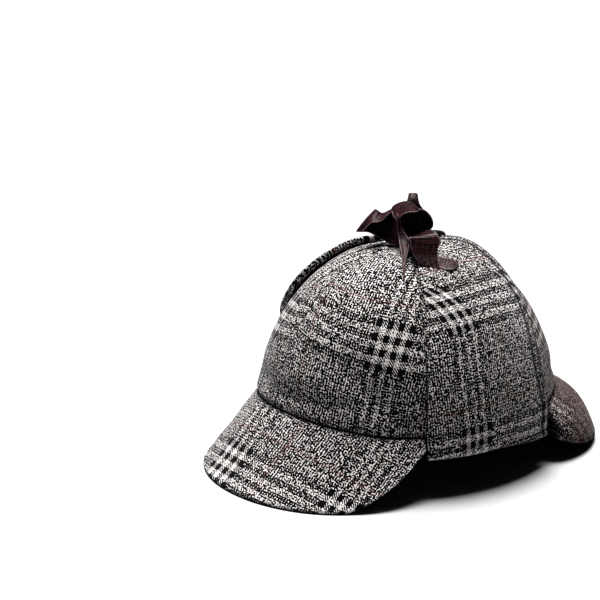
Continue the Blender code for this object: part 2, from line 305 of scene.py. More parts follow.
@dataclass(frozen=True)
class GlenCheckWool:
    """Wool twill in black and off-white yarn, woven as a glen check."""

    warp_pitch: float = 0.420 * MM
    weft_pitch: float = 0.4385 * MM
    warp_group: int = 8             # yarns of one colour side by side in the bold stripes
    weft_group: int = 10
    groups: int = 7                 # dark and light groups in a bold stripe
    warp_repeat: int = 188          # yarns from one bold stripe to the next
    weft_repeat: int = 204
    fine_repeat: int = 4            # two dark and two light yarns between the bold stripes
    twill: int = 4                  # over two yarns and under two
    overcheck_at: int = 96          # the rust-brown yarns, counted from the bold stripe's first
    overcheck_yarns: int = 6
    overcheck_share: float = 0.42
    wander_scale: float = 140.0     # bends in the yarns' run, a metre
    warp_wander: float = 1.6        # and how far they go, in yarns
    weft_wander: float = -1.4
    slub_scale: float = 1000.0      # thick and thin places a metre
    fine_slub: float = 4.8          # how much they break up the fine check, and the bold one
    bold_slub: float = 2.2
    heavy: float = 0.34             # the dark yarns spread over this share of the light ones
    bold_heavy: float = 0.65        # and over this much of it in the bold crossings
    crispness: float = 3.0
    valley_tone: float = 0.62       # painted shade between the yarns: the brightness there, and what their tops have more
    top_tone: float = 0.40
    least_yarn_tone: float = 0.88   # the darkest yarn's brightness, and what the lightest has more
    yarn_tone: float = 0.22
    fibre_scale: float = 2600.0     # fibres, and how far they change the brightness
    fibre_tone: float = 0.56
    light: tuple = (0.84, 0.814, 0.809, 1.0)
    dark: tuple = (0.006, 0.0045, 0.005, 1.0)
    rust: tuple = (0.20, 0.06, 0.045, 1.0)
    back_shade_from: float = 0.054        # behind here, on the rear brim, the cloth is painted darker and browner: painted shade with a brown tint
    back_shade_full: float = 0.090
    back_shade_tint: tuple = (0.36, 0.28, 0.27, 1.0)
    roughness: float = 0.88

    def _yarn(self, pen: NodePen, index: Signal, group: int, repeat: int) -> tuple[Signal, Signal, Signal]:
        """Tell the dark and the rust-brown yarns from the light ones.

        Args:
            pen: the material's pen.
            index: the yarn's number.
            group: yarns in a bold group.
            repeat: yarns in a repeat.

        Returns:
            Three values that are 1 on dark yarns, on rust-brown yarns and in the bold stripe.
        """
        bold = group * self.groups
        place = index % float(repeat)
        in_bold = place < bold - 0.5
        coarse = place % (2.0 * group) < group - 0.5
        fine = (place - float(bold)) % float(self.fine_repeat) < self.fine_repeat / 2 - 0.5
        rust = pen.math("ABSOLUTE", place - float(self.overcheck_at)) < self.overcheck_yarns / 2
        return fine + in_bold * (coarse - fine), rust, in_bold

    def material(self) -> bpy.types.Material:
        """Make the material.

        Returns:
            The cloth's material.
        """
        pen = NodePen("plaid_wool_twill")
        here = pen.object_place()
        across, along = pen.cloth_place()
        wander = pen.noise(here, self.wander_scale) - 0.5
        across = across / self.warp_pitch + self.warp_group * self.groups / 2 + wander * self.warp_wander
        along = along / self.weft_pitch + self.weft_group * self.groups / 2 + wander * self.weft_wander
        warp, weft = pen.math("FLOOR", across), pen.math("FLOOR", along)
        in_warp, in_weft = across - warp, along - weft
        step = (warp + weft) % float(self.twill)
        on_top = step < self.twill / 2 - 0.5

        def top(first: Signal, second: Signal) -> Signal:
            """Take the first where the warp is on top, else the second."""
            return second + on_top * (first - second)

        warp_dark, warp_rust, warp_bold = self._yarn(pen, warp, self.warp_group, self.warp_repeat)
        weft_dark, weft_rust, weft_bold = self._yarn(pen, weft, self.weft_group, self.weft_repeat)
        crossing = warp_bold * weft_bold
        slub = pen.noise(here, self.slub_scale, 0.0) - 0.5
        broken = slub * (self.fine_slub - crossing * (self.fine_slub - self.bold_slub))
        heavy = self.heavy - crossing * ((1 - self.bold_heavy) * self.heavy)
        dark = top(warp_dark, weft_dark) + (heavy - 0.5) + broken
        dark = pen.clamp(dark * self.crispness + 0.5)

        side = top(in_warp, in_weft)
        run = (step % 2.0 + top(in_weft, in_warp)) / 2.0
        height = pen.wave(side) ** 0.6 * pen.wave(run) ** 0.4
        fibre = pen.noise(here, self.fibre_scale, 1.0)
        # painted shade in the valleys between yarns, then random tone of each yarn and of the fibres
        shade = height * self.top_tone + self.valley_tone
        shade = shade * (pen.chance(top(warp, weft + 0.37)) * self.yarn_tone + self.least_yarn_tone)
        shade = shade * (fibre * self.fibre_tone + (1 - self.fibre_tone / 2))

        colour = pen.blend(dark, self.light, self.dark)
        colour = pen.blend(top(warp_rust, weft_rust) * self.overcheck_share, colour, self.rust)
        # dark stitch lines, and painted shade in the seams and beside and along the flaps' rear edges
        colour = pen.blend(pen.attribute("stitch_and_painted_shade"), colour, self.dark)
        # painted shade with a brown tint, growing towards the back
        back_shade = (pen.split(here)[1] - self.back_shade_from) / (self.back_shade_full - self.back_shade_from)
        back_shade = pen.clamp(back_shade) * (pen.noise(here, 60.0) * 0.5 + 0.7)
        colour = pen.blend(back_shade, colour, pen.product(colour, self.back_shade_tint))
        pen.feed(pen.shader.inputs["Base Color"], pen.tint(colour, shade))
        pen.shader.inputs["Roughness"].default_value = self.roughness
        pen.shader.inputs["Specular IOR Level"].default_value = 0.25
        pen.shader.inputs["Sheen Weight"].default_value = 0.10
        pen.shader.inputs["Sheen Roughness"].default_value = 0.5
        pen.bump(height + fibre * 0.6, 0.12 * MM, 0.7)
        return pen.material


@dataclass(frozen=True)
class GrosgrainRibbon:
    """Dark brown ribbon with fine cross ribs, painted light and shade in mottled patches and in the rib valleys,
    and a painted highlight on its selvedges.
    """

    rib: float = 0.95 * MM
    wander_scale: float = 300.0     # bends in the ribs' run, a metre, and how far they go, in ribs
    wander: float = 0.4
    selvedge: float = 0.6 * MM
    selvedge_glint_share: float = 0.6
    mottle_scale: float = 600.0     # painted light and shade in patches, so many a metre
    mottle: float = 4.4             # how sharply they part, and where
    mottle_from: float = 0.45
    rib_chance: float = 0.45        # how much lighter one rib may be than the next
    rib_depth: float = 0.75         # painted shade in the ribs' valleys: how much darker they are
    # a shaded and a lit copy of the brown, mixed in patches and along the ribs
    dark: tuple = (0.007, 0.0028, 0.0036, 1.0)
    lit: tuple = (0.125, 0.046, 0.058, 1.0)
    # painted highlight on the selvedges
    edge: tuple = (0.34, 0.27, 0.28, 1.0)
    roughness: float = 0.45

    def material(self) -> bpy.types.Material:
        """Make the material.

        Returns:
            The ribbon's material.
        """
        pen = NodePen("brown_grosgrain")
        here = pen.object_place()
        count = pen.cloth_place()[1] / self.rib + pen.noise(here, self.wander_scale) * self.wander
        rib = pen.wave(count, 2.0) * 0.5 + 0.5
        selvedge_glint = pen.attribute("selvedge") < self.selvedge
        mottled = (pen.noise(here, self.mottle_scale) - self.mottle_from) * self.mottle
        mottled = mottled + pen.chance(pen.math("FLOOR", count - 0.75)) * self.rib_chance
        # painted light and shade: patches and rib valleys choose between the shaded and the lit brown
        share = pen.clamp((rib * self.rib_depth + (1 - self.rib_depth)) * mottled)
        colour = pen.blend(share, self.dark, self.lit)
        # painted highlight along the selvedges
        colour = pen.blend(selvedge_glint * self.selvedge_glint_share, colour, self.edge)
        pen.feed(pen.shader.inputs["Base Color"], colour)
        pen.shader.inputs["Roughness"].default_value = self.roughness
        pen.shader.inputs["Specular IOR Level"].default_value = 0.3
        pen.shader.inputs["Sheen Weight"].default_value = 0.10
        pen.shader.inputs["Sheen Roughness"].default_value = 0.35
        pen.bump(rib, 0.12 * MM, 0.8)
        return pen.material


@dataclass(frozen=True)
class StudioPaper:
    """Smooth white background paper."""

    colour: tuple = (0.45, 0.45, 0.452, 1.0)
    grain: float = 0.985            # the grain's dark side, times the colour
    roughness: float = 0.8

    def material(self) -> bpy.types.Material:
        """Make the material.

        Returns:
            The paper's material.
        """
        pen = NodePen("white_paper")
        darker = tuple(self.grain * c for c in self.colour[:3]) + (1.0,)
        grain = pen.noise(pen.object_place(), 400.0)
        pen.feed(pen.shader.inputs["Base Color"], pen.blend(grain, self.colour, darker))
        pen.shader.inputs["Roughness"].default_value = self.roughness
        pen.shader.inputs["Specular IOR Level"].default_value = 0.1
        return pen.material


# ------------------------------------------------------------------------------- curves and sheets


def smooth_table(places: tuple | np.ndarray, values: tuple | list, at: np.ndarray) -> np.ndarray:
    """Read a column of a short table on a smooth curve through its rows.

    Args:
        places: where each row stands.
        values: the column.
        at: the places that are asked for.

    Returns:
        The values there.
    """
    places, values = np.asarray(places, float), np.asarray(values, float)
    last = len(places) - 1
    before, after = np.maximum(np.arange(last + 1) - 1, 0), np.minimum(np.arange(last + 1) + 1, last)
    slopes = (values[after] - values[before]) / (places[after] - places[before])
    i = np.clip(np.searchsorted(places, at, side="right") - 1, 0, last - 1)
    span = places[i + 1] - places[i]
    t = (at - places[i]) / span
    return ((1 + 2 * t) * (1 - t) ** 2 * values[i] + t * (1 - t) ** 2 * span * slopes[i]
            + t * t * (3 - 2 * t) * values[i + 1] - t * t * (1 - t) * span * slopes[i + 1])


def smooth_step(t: np.ndarray) -> np.ndarray:
    """Return a soft step from 0 to 1 as t goes from 0 to 1."""
    t = np.clip(t, 0, 1)
    return t * t * (3 - 2 * t)


def bell(distance: np.ndarray, width: float) -> np.ndarray:
    """Return a bell that is 1 in the middle and fades over the width."""
    return np.exp(-(distance / width) ** 2)


def steps_across(length: float, spacing: float) -> np.ndarray:
    """Places over a sheet, close together at both edges, where it turns round.

    Args:
        length: the sheet's length that way.
        spacing: the distance between places away from the edges.

    Returns:
        Shares of the length from 0 to 1.
    """
    rim = np.array([0, 0.10, 0.30, 0.60, 1.0, 1.6]) * MM
    count = max(int(round((length - 2 * rim[-1]) / spacing)), 2)
    middle = np.linspace(rim[-1], length - rim[-1], count + 1)
    return np.concatenate([rim[:-1], middle, (length - rim[:-1])[::-1]]) / length


def run_along(points: np.ndarray, axis: int) -> np.ndarray:
    """Measure a grid of points along its rows or its columns.

    Args:
        points: rows by columns by 3.
        axis: 0 to go from row to row, 1 from column to column.

    Returns:
        The distance run from the first row or column, for each point.
    """
    run = np.cumsum(np.linalg.norm(np.diff(points, axis=axis), axis=2), axis=axis)
    return np.concatenate([np.zeros_like(np.take(run, [0], axis=axis)), run], axis=axis)


def grid_normals(points: np.ndarray) -> np.ndarray:
    """Work out the unit normals of a grid of points, column direction by row direction.

    Args:
        points: rows by columns by 3.

    Returns:
        A normal for each point.
    """
    down, across = np.gradient(points, axis=0), np.gradient(points, axis=1)
    normal = np.cross(across, down)
    return normal / np.maximum(np.linalg.norm(normal, axis=2, keepdims=True), 1e-12)


def ripple(points: np.ndarray, wave: float, seed: int) -> np.ndarray:
    """Soft unevenness of handled cloth.

    Args:
        points: rows by columns by 3.
        wave: the mean wavelength.
        seed: which pattern.

    Returns:
        A value from about -1 to 1 for each point.
    """
    random = np.random.default_rng(seed)
    total = np.zeros(points.shape[:2])
    for _ in range(9):
        way = random.normal(size=3)
        way *= 2 * pi / (wave * random.uniform(0.7, 1.5)) / np.linalg.norm(way)
        total += np.sin(points @ way + random.uniform(0, 2 * pi))
    return total / 4.5


def read_places(mesh: bpy.types.Mesh) -> np.ndarray:
    """Read where a mesh's vertices are.

    Args:
        mesh: the mesh.

    Returns:
        Their places, one a row.
    """
    places = np.empty(len(mesh.vertices) * 3)
    mesh.vertices.foreach_get("co", places)
    return places.reshape(-1, 3)


def write_cloth_map(mesh: bpy.types.Mesh, flat: np.ndarray) -> None:
    """Write the mesh's map of places on the flat cloth.

    Args:
        mesh: the mesh.
        flat: two distances for each vertex.
    """
    corner = np.empty(len(mesh.loops), int)
    mesh.loops.foreach_get("vertex_index", corner)
    layer = mesh.uv_layers.active or mesh.uv_layers.new()
    layer.name = CLOTH_MAP
    layer.data.foreach_set("uv", flat[corner].ravel())


def write_values(mesh: bpy.types.Mesh, name: str, values: np.ndarray) -> None:
    """Write a number for each vertex under a name."""
    layer = mesh.attributes.new(name, "FLOAT", "POINT")
    layer.data.foreach_set("value", values.astype(np.float32))


def finish_piece(piece: bpy.types.Object, finish: bpy.types.Material) -> None:
    """Sew a piece's edges shut, turn its faces outward, smooth them and give it its material.

    Args:
        piece: the active object.
        finish: the material.
    """
    bpy.ops.object.mode_set(mode="EDIT")
    bpy.ops.mesh.select_all(action="SELECT")
    bpy.ops.mesh.remove_doubles(threshold=1e-6)
    bpy.ops.mesh.normals_make_consistent(inside=False)
    bpy.ops.object.mode_set(mode="OBJECT")
    bpy.ops.object.shade_smooth()
    piece.data.materials.clear()
    piece.data.materials.append(finish)


@dataclass
class Rims:
    """How wide a sheet's four edges turn round, in metres."""

    first_column: float
    last_column: float
    first_row: float
    last_row: float


@dataclass
class ClothSheet:
    """A piece of cloth: a grid of points down its middle, its thickness and the cut it lies on."""

    name: str
    middle: np.ndarray              # rows by columns by 3
    half_way: np.ndarray            # from the middle to the outer face, for each point
    flat: np.ndarray                # rows by columns by 2, the place on the flat cloth
    rims: Rims
    marks: dict[str, np.ndarray]    # numbers that the material reads, by name

    def faces(self) -> tuple[np.ndarray, np.ndarray]:
        """Work out the outer and the inner face, which meet at the edges.

        Returns:
            Two grids of points.
        """
        across, down = run_along(self.middle, 1), run_along(self.middle, 0)
        fade = np.ones(self.middle.shape[:2])
        for distance, width in ((across, self.rims.first_column), (across[:, -1:] - across, self.rims.last_column),
                                (down, self.rims.first_row), (down[-1:] - down, self.rims.last_row)):
            fade *= np.sqrt(1 - (1 - np.clip(distance / width, 0, 1)) ** 2)
        offset = self.half_way * fade[:, :, None]
        return self.middle + offset, self.middle - offset

    def build(self, finish: bpy.types.Material) -> bpy.types.Object:
        """Model the sheet from a grid that is doubled, shaped and sewn shut along its edges.

        Args:
            finish: its material.

        Returns:
            The new object.
        """
        rows, columns = self.middle.shape[:2]
        bpy.ops.object.select_all(action="DESELECT")
        bpy.ops.mesh.primitive_grid_add(x_subdivisions=columns - 1, y_subdivisions=rows - 1, size=2.0)
        piece = bpy.context.object
        piece.name = piece.data.name = f"{self.name}_cloth"
        bpy.ops.object.mode_set(mode="EDIT")
        bpy.ops.mesh.select_all(action="SELECT")
        bpy.ops.mesh.duplicate()
        bpy.ops.mesh.flip_normals()
        bpy.ops.object.mode_set(mode="OBJECT")

        mesh = piece.data
        start = read_places(mesh)
        column = np.rint((start[:, 0] + 1) / 2 * (columns - 1)).astype(int)
        row = np.rint((start[:, 1] + 1) / 2 * (rows - 1)).astype(int)
        outer, inner = self.faces()
        first_half = (np.arange(len(start)) < len(start) // 2)[:, None]
        mesh.vertices.foreach_set("co", np.where(first_half, outer[row, column], inner[row, column]).ravel())
        write_cloth_map(mesh, self.flat[row, column])
        for name, values in self.marks.items():
            write_values(mesh, name, values[row, column])
        finish_piece(piece, finish)
        return piece


def dress(piece: bpy.types.Object, node: str) -> None:
    """Put a finished piece in its CAD node's place and hide that node.

    Args:
        piece: the piece.
        node: the CAD node that it stands for.
    """
    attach(piece, "root")
    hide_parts(node)


@dataclass(frozen=True)
class Cut:
    """How a piece was cut from the check and drawn over its form."""

    across: float = 0.0             # where two bold stripes cross: this far from the piece's middle
    along: float = 0.0              # and this far up from its lower edge
    slope_deg: float = 0.0          # the level stripes rise this much to the side
    lean_deg: float = 0.0           # the upright stripes lean this much to the side
    stretch: float = 1.0            # how much the cloth is drawn out sideways
    gather: float = 0.0             # per metre; the cloth is drawn out less and less towards the side
    bend: float = 0.0               # per metre; the upright stripes curve to the side
    bend_from: float = 0.0          # from here upwards

    def lay(self, across: np.ndarray, along: np.ndarray) -> np.ndarray:
        """Turn a place on the piece into a place on the check.

        Args:
            across: distance from the piece's middle.
            along: distance up the piece.

        Returns:
            Both distances from the bold crossing on the flat cloth, stacked.
        """
        across = across + self.bend * np.maximum(along - self.bend_from, 0) ** 2 - self.across
        along = along - self.along
        c, s = cos(radians(self.slope_deg)), sin(radians(self.slope_deg))
        k, l = sin(radians(self.lean_deg)), cos(radians(self.lean_deg))
        side, up = (across * l - along * k) / (c * l - s * k), (along * c - across * s) / (c * l - s * k)
        return np.stack([side / self.stretch + self.gather * side * np.abs(side), up], axis=-1)


# ------------------------------------------------------------------------------------------- crown


@dataclass(frozen=True)
class Dent:
    """A soft hollow in the crown: a bell round a place."""

    turn_deg: float
    height: float
    half_turn_deg: float
    half_height: float
    depth: float


@dataclass(frozen=True)
class Crease:
    """A fold that runs from one place of the crown to another; under 0 deep it is a ridge."""

    turn_deg: float
    height: float
    to_turn_deg: float
    to_height: float
    width: float
    depth: float


@dataclass(frozen=True)
class CrownDome:
    """The crown's shape, which its gores, the brims' seams and the flaps all follow."""

    half_width: float = 0.085
    half_length: float = 0.102
    widest_height: float = 0.0354
    rise: float = 0.1035
    side_power: float = 0.894
    rise_power: float = 1.134
    lean: float = -0.002
    centre_y: float = 0.00465
    top_press: float = 0.0012
    top_press_lift: float = radians(14)
    top_hole_lift: float = radians(89.1)
    cloth: float = 0.0024
    dents: tuple = (
        Dent(12, 0.057, 17, 0.0050, 0.0020),
        Dent(34, 0.058, 11, 0.0050, 0.0012),
        Dent(20, 0.083, 14, 0.0070, 0.0010),
        Dent(38, 0.079, 8, 0.0090, 0.0014),
        Dent(50, 0.063, 9, 0.0120, 0.0030),
        Dent(63, 0.046, 7, 0.0120, 0.0040),
        Dent(-20, 0.060, 13, 0.0060, 0.0012),
        Dent(-48, 0.062, 9, 0.0120, 0.0022),
        Dent(-62, 0.047, 7, 0.0110, 0.0026),
        Dent(150, 0.052, 14, 0.0070, 0.0014),
        Dent(-156, 0.056, 15, 0.0080, 0.0016),
    )
    creases: tuple = (
        Crease(52, 0.124, 60, 0.108, 0.0016, 0.0012),
        Crease(58, 0.125, 66, 0.106, 0.0016, 0.0014),
        Crease(44, 0.126, 52, 0.114, 0.0015, 0.0009),
        Crease(30, 0.080, 60, 0.050, 0.0050, 0.0017),
        Crease(6, 0.0555, 36, 0.0590, 0.0024, 0.0011),
    )

    def lift_at(self, height: np.ndarray) -> np.ndarray:
        """Return the lift at which the dome has this height."""
        share = (np.asarray(height, float) - self.widest_height) / self.rise
        return np.copysign(np.arcsin(np.minimum(np.abs(share), 1.0) ** (1 / self.rise_power)), share)

    def height_over(self, x: float, y: float) -> float:
        """Return the dome's height over a point of the plan."""
        reach = min(float(np.hypot(x / self.half_width, (y - self.centre_y) / self.half_length)), 1.0)
        return self.widest_height + self.rise * sin(np.arccos(reach ** (1 / self.side_power))) ** self.rise_power

    def dent_depth(self, turn: np.ndarray, lift: np.ndarray, height: np.ndarray) -> np.ndarray:
        """Work out how far the cloth is pushed in.

        Args:
            turn: angles from above.
            lift: angles up the dome.
            height: heights over the floor.

        Returns:
            The depth at each place.
        """
        depth = self.top_press * bell(pi / 2 - lift, self.top_press_lift)
        for dent in self.dents:
            away = (turn - radians(dent.turn_deg) + pi) % (2 * pi) - pi
            depth = depth + (dent.depth * bell(away, radians(dent.half_turn_deg))
                             * bell(height - dent.height, dent.half_height))
        reach = np.cos(np.maximum(lift, 0)) ** self.side_power * (self.half_width + self.half_length) / 2
        for crease in self.creases:
            across = ((turn - radians(crease.turn_deg) + pi) % (2 * pi) - pi) * reach
            run_across = radians(crease.to_turn_deg - crease.turn_deg) * reach
            run_up = crease.to_height - crease.height
            up = height - crease.height
            share = np.clip((across * run_across + up * run_up) / (run_across ** 2 + run_up ** 2), 0, 1)
            apart = np.hypot(across - share * run_across, up - share * run_up)
            depth = depth + crease.depth * bell(apart, crease.width) * np.sqrt(np.sin(pi * (0.1 + 0.8 * share)))
        return depth

    def point(self, turn: np.ndarray, lift: np.ndarray, out: np.ndarray) -> np.ndarray:
        """Place a point on the dome.

        Args:
            turn: angles from above.
            lift: angles up the dome; under 0 the wall runs straight down.
            out: distance outside the crown's outer face.

        Returns:
            The points, with their three coordinates last.
        """
        rise = np.copysign(np.abs(np.sin(lift)) ** self.rise_power, lift)
        reach = np.where(lift > 0, np.cos(np.clip(lift, 0, pi / 2)) ** self.side_power, 1.0)
        return np.stack([
            (self.half_width + out) * reach * np.sin(turn),
            self.centre_y - (self.half_length + out) * reach * np.cos(turn) + self.lean * rise,
            self.widest_height + (self.rise + np.maximum(lift, 0) / (pi / 2) * out) * rise], axis=-1)


@dataclass
class Brim:
    """A brim: its outline by a share of the reach, its edge's drop, and the slope between."""

    name: str
    facing_deg: float
    half_turn_deg: float
    reach: float
    end_share: float                # of the reach, left at the brim's two ends
    end_height: float               # of the lower edge at the ends
    lands_at: float                 # the edge is down where the outline is this full
    left_spread: float              # how squarely the outline turns, on the wearer's left and right
    right_spread: float
    shoulder: float
    seam_arch: float
    sag: float                      # how far the slope hollows; under 0 it is full
    flat_radius: float              # of the seam's curve when the brim lies flat
    cut: Cut
    sag_power: float = 1.7
    slope: float = 0.056            # about how long the cloth is, from seam to edge
    widening: float = 1.15          # the brim's mean width over the seam's
    root: float = 0.0024
    foot: float = 0.0044
    gap: float = 0.0004
    seam_tuck: float = 1.2 * MM     # the seam's edge turns in this far, over so much of the slope
    seam_turn: float = 1.3 * MM
    dent_reach: float = 6.0 * MM    # the crown's dents go on this far down the brim
    edge_turn: float = 3.6 * MM     # the lower edge turns in too, over so much of the slope
    edge_height: float = 3.4 * MM
    ripple_wave: float = 0.035
    ripple_depth: float = 0.25 * MM
    # painted shade along the seam with the crown
    seam_painted_shade: float = 0.8
    end_painted_shade: float = 0.0          # painted shade on the ends, beside the flaps: how dark
    end_shade_at: float = 1.0 * MM
    end_shade_width: float = 2.6 * MM

    def seam_height(self, dome: CrownDome, turn: np.ndarray) -> np.ndarray:
        """Return the height of the seam with the crown."""
        return dome.widest_height + self.seam_arch * np.maximum(np.cos(turn - radians(self.facing_deg)), 0) ** 2

    def sheet(self, dome: CrownDome, spacing: float) -> ClothSheet:
        """Shape the brim from its seam down to the edge that the hat stands on.

        Args:
            dome: the crown that it is sewn to.
            spacing: the grid's distance.

        Returns:
            The sheet.
        """
        width = 2 * radians(self.half_turn_deg) * (dome.half_width + dome.half_length) / 2 * self.widening
        side = 2 * steps_across(width, spacing)[None, :] - 1
        down = steps_across(self.slope, spacing)[:, None]
        run, left = down * self.slope, (1 - down) * self.slope
        turn = radians(self.facing_deg) + side * radians(self.half_turn_deg)
        spread = np.where(np.sin(turn) > 0, self.left_spread, self.right_spread)
        full = np.maximum(1 - np.abs(side) ** spread, 0) ** self.shoulder
        share = self.end_share + (1 - self.end_share) * full
        seam = self.seam_height(dome, turn) - self.gap
        edge = self.end_height * np.maximum(1 - full / self.lands_at, 0)
        away = np.stack([np.sin(turn) / dome.half_width, -np.cos(turn) / dome.half_length,
                         np.zeros_like(turn)], axis=-1)
        away /= np.linalg.norm(away, axis=-1, keepdims=True)
        tuck = (self.seam_tuck * np.exp(-run / self.seam_turn)
                + dome.dent_depth(turn, 0 * turn, seam) * np.exp(-run / self.dent_reach)
                + self.edge_turn * np.maximum(1 - left / self.edge_height, 0) ** 2)
        outer = dome.point(turn, 0 * turn, 0.0) + away * (self.reach * share * down - tuck)[:, :, None]
        outer[:, :, 2] = seam + (edge - seam) * down - self.sag * share * np.sin(pi * down ** self.sag_power)
        thick = self.root + (self.foot - self.root) * down
        half_way = away * (thick / 2 * np.ones_like(side))[:, :, None]
        middle = outer - half_way
        uneven = ripple(middle, self.ripple_wave, 5) * self.ripple_depth * (1 - down)
        middle = middle + grid_normals(middle) * uneven[:, :, None]

        seam_run = run_along(outer[:1], 1)[0]
        fan = ((seam_run - seam_run[-1] / 2) / self.flat_radius)[None, :]
        radius = self.flat_radius + run_along(outer, 0)
        flat = self.cut.lay(radius * np.sin(fan), self.flat_radius - radius * np.cos(fan))
        # painted shade: along the seam with the crown, and at the ends beside the flaps
        to_end = (1 - np.abs(side)) * width / 2 + 0 * down
        painted_shade = np.maximum(self.end_painted_shade * bell(to_end - self.end_shade_at, self.end_shade_width),
                           self.seam_painted_shade * np.exp(-run / (1.0 * MM)))
        rims = Rims(first_column=1.5 * MM, last_column=1.5 * MM, first_row=0.9 * MM, last_row=2.0 * MM)
        return ClothSheet(self.name, middle, half_way, flat, rims, {"stitch_and_painted_shade": painted_shade})


@dataclass(frozen=True)
class Gore:
    """One of the crown's six segments."""

    name: str
    start_deg: float
    end_deg: float
    cut: Cut


class LowEdge(Enum):
    """What a gore is sewn to below; the value is in the gore's name."""

    FRONT_BRIM = "front"
    REAR_BRIM = "back"
    EAR_FLAP = "side"


@dataclass
class EarFlap:
    """An ear flap, folded up under the crown's edge and tied on top; rows go up the dome."""

    name: str
    side: Side
    cut: Cut
    lift_deg: tuple                 # where the rows of the next four columns stand
    front_deg: tuple                # the turn of the front and of the rear edge
    rear_deg: tuple
    front_off: tuple                # how far each edge stands off the crown
    rear_off: tuple
    cloth: float = 0.0030
    width: float = 0.100            # about
    length: float = 0.150
    fold_height: float = 0.0240
    fold_drop: float = 0.0050       # the fold's back end is this much lower
    drop_from_deg: float = 95.0
    drop_over_deg: float = 28.0
    fold_thick: float = 0.0025
    fold_bend: float = 0.0016       # radius of the fold's middle line
    inside_length: float = 0.0042   # of the cloth between the fold and the seam inside the crown
    top_lift_deg: float = 80.0
    stitch_in: float = 2.4 * MM     # the edge stitch line's distance from the front and the lower edge
    rear_stitch_in: float = 8.5 * MM
    stitch_depth: float = 0.35 * MM
    fold_ridge: float = 0.45 * MM   # the fold's roll stands up this much
    dent_share: float = 0.9         # how much of the crown's dents shows through
    swell_wave: float = 0.040
    swell: float = 0.35 * MM
    belly: float = 1.3 * MM         # how far the flap swells out half-way up
    belly_at: float = 0.080
    front_thin: float = 0.55        # the front edge is pressed this much thinner; under 0 it is thicker
    # painted shade along the rear edge, and how wide
    rear_painted_shade: float = 0.85
    rear_shade_width: float = 3.2 * MM

    def fold_at(self, turn: np.ndarray) -> np.ndarray:
        """Return the height of the fold's underside, which droops towards its back end."""
        back = (np.abs(turn) - radians(self.drop_from_deg)) / radians(self.drop_over_deg)
        return self.fold_height - self.fold_drop * smooth_step(back)

    def between(self, front: tuple, rear: tuple, lift: np.ndarray, share: np.ndarray) -> np.ndarray:
        """Read the columns of both edges at a lift, and go from one to the other.

        Args:
            front: the front edge's column.
            rear: the rear edge's column.
            lift: angles up the dome.
            share: of the way from the front edge to the rear.

        Returns:
            The values between.
        """
        at = np.clip(np.degrees(lift), 0, self.top_lift_deg)
        return smooth_table(self.lift_deg, front, at) * (1 - share) + smooth_table(self.lift_deg, rear, at) * share

    def middle_rows(self, dome: CrownDome, share: np.ndarray, spacing: float) -> tuple[np.ndarray, int]:
        """Lay the middle line's rows from the seam inside, round the fold and up to the tip.

        Args:
            dome: the crown that it lies on.
            share: of the way from the front edge to the rear, for each column.
            spacing: the rows' distance.

        Returns:
            The points, and the first row above the fold.
        """
        half = self.cloth / 2
        base = radians(self.front_deg[0]) + radians(self.rear_deg[0] - self.front_deg[0]) * share
        line = self.fold_at(base) + self.fold_thick / 2
        base_off = self.front_off[0] + (self.rear_off[0] - self.front_off[0]) * share + half
        inside = steps_across(self.inside_length, 1.2 * MM)[:-3, None]
        root_out = -dome.cloth + (base_off - self.fold_bend + dome.cloth) * inside / inside[-1]
        low = dome.point(self.side.value * base, dome.lift_at(line), root_out)
        bend = np.linspace(0, pi / 2, 9)[1:-1, None]
        bend_out = base_off - self.fold_bend + self.fold_bend * np.sin(bend)
        bend_up = line + self.fold_bend * (1 - np.cos(bend))
        turned = dome.point(self.side.value * base + 0 * bend, dome.lift_at(bend_up), bend_out)

        rows = steps_across(self.length, spacing)[:, None]
        rise = np.concatenate([np.linspace(0, rows[6, 0], 6)[:-1, None], rows[6:]])
        start = dome.lift_at(line + self.fold_bend)
        lift = start + (radians(self.top_lift_deg) - start) * rise
        turn = np.radians(self.between(self.front_deg, self.rear_deg, lift, share))
        off = self.between(self.front_off, self.rear_off, lift, share)
        raised = dome.point(self.side.value * turn, lift, off + half)
        return np.concatenate([low, turned, raised]), len(low) + len(turned)

    def dents(self, dome: CrownDome, middle: np.ndarray) -> np.ndarray:
        """Return the depth of the crown's dents under the flap."""
        turn = np.arctan2(middle[:, :, 0] / dome.half_width, (dome.centre_y - middle[:, :, 1]) / dome.half_length)
        return dome.dent_depth(turn, dome.lift_at(middle[:, :, 2]), middle[:, :, 2])

    def sheet(self, dome: CrownDome, spacing: float) -> ClothSheet:
        """Shape the flap and its relief.

        Args:
            dome: the crown that it lies on.
            spacing: the grid's distance.

        Returns:
            The sheet.
        """
        share = steps_across(self.width, spacing)[None, :]
        middle, fold_row = self.middle_rows(dome, share, spacing)
        half = self.cloth / 2
        across, climb = run_along(middle, 1), run_along(middle, 0)
        to_rear = across[:, -1:] - across
        climb = climb - climb[fold_row:fold_row + 1]
        rear_line = bell(to_rear - self.rear_stitch_in, 1.4 * MM)
        groove = (bell(across - self.stitch_in, 0.45 * MM) + rear_line
                  + 1.8 * bell(climb - self.stitch_in, 0.7 * MM))
        dents = self.dents(dome, middle) * (1 - smooth_step(share / 0.4)) * smooth_step(climb / 0.010)
        push = (bell(climb - 0.2 * MM, 1.3 * MM) * self.fold_ridge - dents * self.dent_share
                - groove * self.stitch_depth
                + ripple(middle, self.swell_wave, 21 + self.side.value) * self.swell * smooth_step(climb / 0.02)
                + self.belly * bell(climb - self.belly_at, 0.020) * np.sin(pi * share))
        normal = grid_normals(middle) * self.side.value
        thin = self.front_thin * (1 - smooth_step(share / 0.22)) * smooth_step(climb / 0.012)
        middle = middle + normal * (push - thin * half)[:, :, None]
        half_way = normal * (half * (1 - thin))[:, :, None]

        flat = self.cut.lay((across - across[:, -1:] / 2) * self.side.value, climb)
